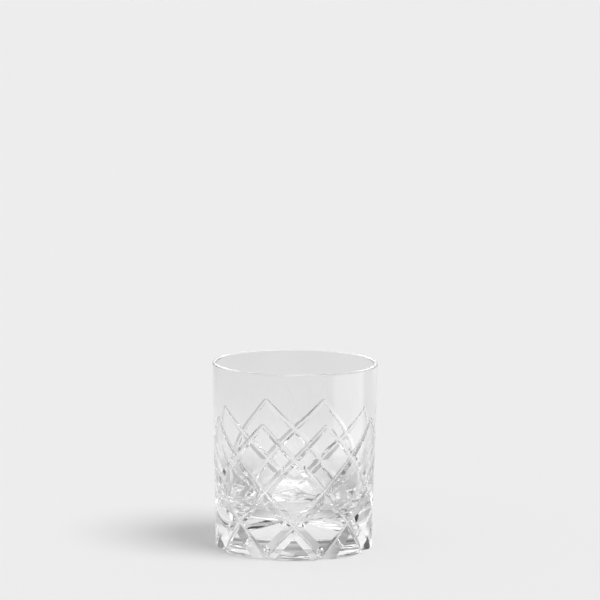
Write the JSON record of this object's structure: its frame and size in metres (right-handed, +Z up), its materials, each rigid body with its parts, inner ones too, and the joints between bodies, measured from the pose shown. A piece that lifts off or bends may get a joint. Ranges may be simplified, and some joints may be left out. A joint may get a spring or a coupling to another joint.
{
  "type": "rocks glass",
  "caption": "Short, thick-based drinking tumbler in clear cut crystal, with a plain rim and a wall cut with crossing grooves that leave a lattice of lozenges.",
  "frame": {"origin": "middle of the foot, on the surface that the glass stands on", "axes": "+Z up along the axis of the glass, -Y towards the picture's camera, where two cuts cross"},
  "size_m": [0.08, 0.08, 0.09],
  "materials": {
    "crystal": "clear polished crystal, fire-polished inside and at the lip, with polished mitre cuts outside"
  },
  "bodies": {
    "root": {"tumbler": "crystal"}
  },
  "joints": []
}
